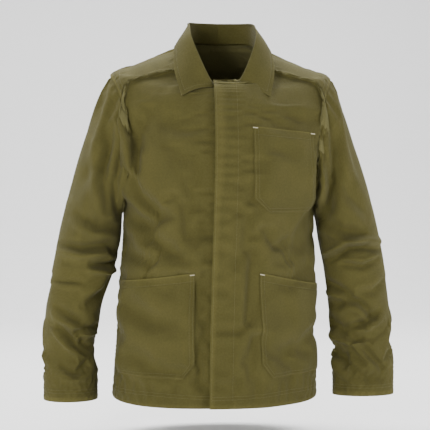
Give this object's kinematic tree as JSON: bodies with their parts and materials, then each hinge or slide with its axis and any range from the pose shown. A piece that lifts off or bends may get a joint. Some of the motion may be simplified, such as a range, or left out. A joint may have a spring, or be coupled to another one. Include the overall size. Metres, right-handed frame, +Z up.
{
  "type": "work jacket",
  "caption": "Long-sleeved cotton twill work jacket with a turned-down collar, a covered button fly, a chest pocket and two slanted hip pockets, hanging closed.",
  "frame": {"origin": "midway between the two high points of the shoulders where the neck begins, where a wearer's shoulders or a hanger hold the jacket", "axes": "+Z up, front facing -Y, +X towards the wearer's left"},
  "size_m": [0.7356, 0.2985, 0.7912],
  "materials": {
    "twill": "olive cotton twill, washed",
    "twill_inside": "wrong side of the olive cotton twill",
    "bar_tack_thread": "pale polyester thread",
    "button_resin": "dark olive polyester resin"
  },
  "bodies": {
    "torso": {"back_panel": "twill", "back_yoke": "twill", "left_front_panel": "twill", "right_front_panel": "twill", "left_front_hem": "twill_inside", "right_front_hem": "twill_inside", "back_hem": "twill_inside", "left_chest_pocket": "twill", "left_hip_pocket": "twill", "right_hip_pocket": "twill", "chest_tack_front": "bar_tack_thread", "chest_tack_side": "bar_tack_thread", "left_hip_tack": "bar_tack_thread", "right_hip_tack": "bar_tack_thread", "upper_collar": "twill", "under_collar": "twill_inside"},
    "left_front": {"left_fly_cover": "twill", "left_buttonhole_band": "twill_inside"},
    "right_front": {"right_button_stand": "twill", "button_1": "button_resin", "button_2": "button_resin", "button_3": "button_resin", "button_4": "button_resin", "button_5": "button_resin", "button_6": "button_resin"},
    "left_upper_arm": {"left_upper_sleeve": "twill"},
    "left_forearm": {"left_lower_sleeve": "twill", "left_cuff_hem": "twill_inside"},
    "right_upper_arm": {"right_upper_sleeve": "twill"},
    "right_forearm": {"right_lower_sleeve": "twill", "right_cuff_hem": "twill_inside"}
  },
  "joints": [
    {"name": "left_front_open", "type": "hinge", "parent": "torso", "child": "left_front", "pos_m": [0.048, -0.1595, -0.705], "axis": [0, 0.0351, 0.9994], "range_deg": [0, 110], "deforming": ["upper_collar", "under_collar"]},
    {"name": "right_front_open", "type": "hinge", "parent": "torso", "child": "right_front", "pos_m": [-0.048, -0.1595, -0.705], "axis": [0, -0.0351, -0.9994], "range_deg": [0, 22], "deforming": ["upper_collar", "under_collar"]},
    {"name": "left_sleeve_raise", "type": "hinge", "parent": "torso", "child": "left_upper_arm", "pos_m": [0.232, 0, -0.053], "axis": [0, -1, 0], "range_deg": [0, 35]},
    {"name": "left_elbow_bend", "type": "hinge", "parent": "left_upper_arm", "child": "left_forearm", "pos_m": [0.29, -0.0638, -0.44], "axis": [-0.9975, 0, -0.0708], "range_deg": [0, 90]},
    {"name": "right_sleeve_raise", "type": "hinge", "parent": "torso", "child": "right_upper_arm", "pos_m": [-0.232, 0, -0.053], "axis": [0, 1, 0], "range_deg": [0, 35]},
    {"name": "right_elbow_bend", "type": "hinge", "parent": "right_upper_arm", "child": "right_forearm", "pos_m": [-0.29, -0.0638, -0.44], "axis": [-0.9975, 0, 0.0708], "range_deg": [0, 90]}
  ],
  "couplings": [
    {"joint": "right_front_open", "follows": "left_front_open", "ratio": 0.2}
  ]
}
